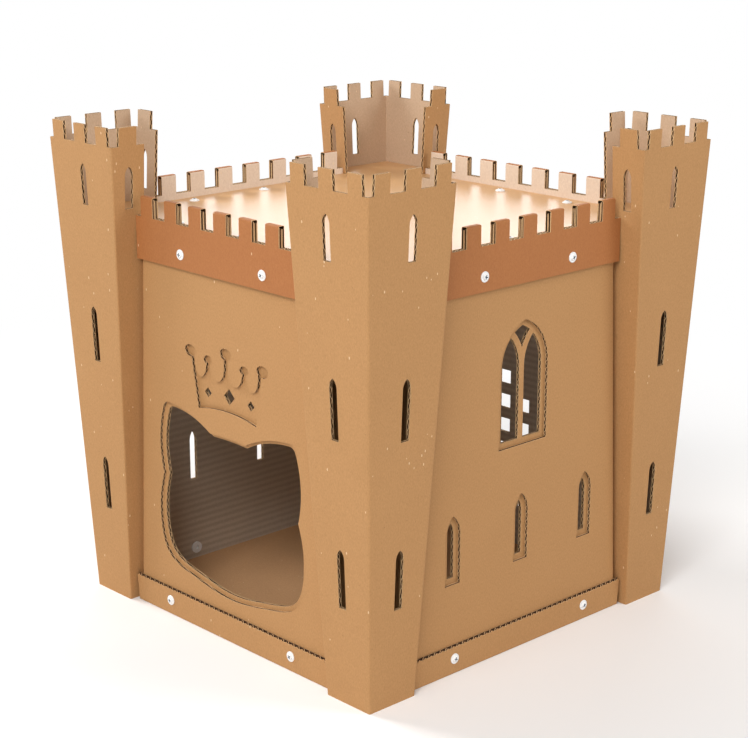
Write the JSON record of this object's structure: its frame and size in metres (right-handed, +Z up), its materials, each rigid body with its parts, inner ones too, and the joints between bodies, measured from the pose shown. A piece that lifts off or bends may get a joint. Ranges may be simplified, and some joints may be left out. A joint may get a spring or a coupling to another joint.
{
  "type": "cardboard pet castle",
  "caption": "Pet house folded from corrugated cardboard as a castle: flared crenellated corner towers, a parapet roof deck, a cat-head door and pointed windows.",
  "frame": {"origin": "centre of the footprint, on the floor", "axes": "+Z up, -Y out through the cat-head door, +X out through the wall on the door's right as seen from outside"},
  "size_m": [0.4066, 0.4066, 0.4343],
  "materials": {
    "kraft_board": "matte",
    "roof_board": "matte",
    "screw_plastic": "satin",
    "socket_plastic": "frosted"
  },
  "bodies": {
    "root": {"base_tray": "kraft_board", "front_wall_outer": "kraft_board", "front_wall_inner": "kraft_board", "right_wall_outer": "kraft_board", "right_wall_inner": "kraft_board", "back_wall_outer": "kraft_board", "back_wall_inner": "kraft_board", "left_wall_outer": "kraft_board", "left_wall_inner": "kraft_board", "tower_front_left": "kraft_board", "tower_front_right": "kraft_board", "tower_back_right": "kraft_board", "tower_back_left": "kraft_board", "roof_deck": "roof_board", "front_battlement": "roof_board", "right_battlement": "roof_board", "back_battlement": "roof_board", "left_battlement": "roof_board", "band_screws": "screw_plastic", "skirting_screws": "screw_plastic", "deck_screws": "screw_plastic", "band_sockets": "socket_plastic", "skirting_sockets": "socket_plastic", "deck_sockets": "socket_plastic"}
  },
  "joints": []
}
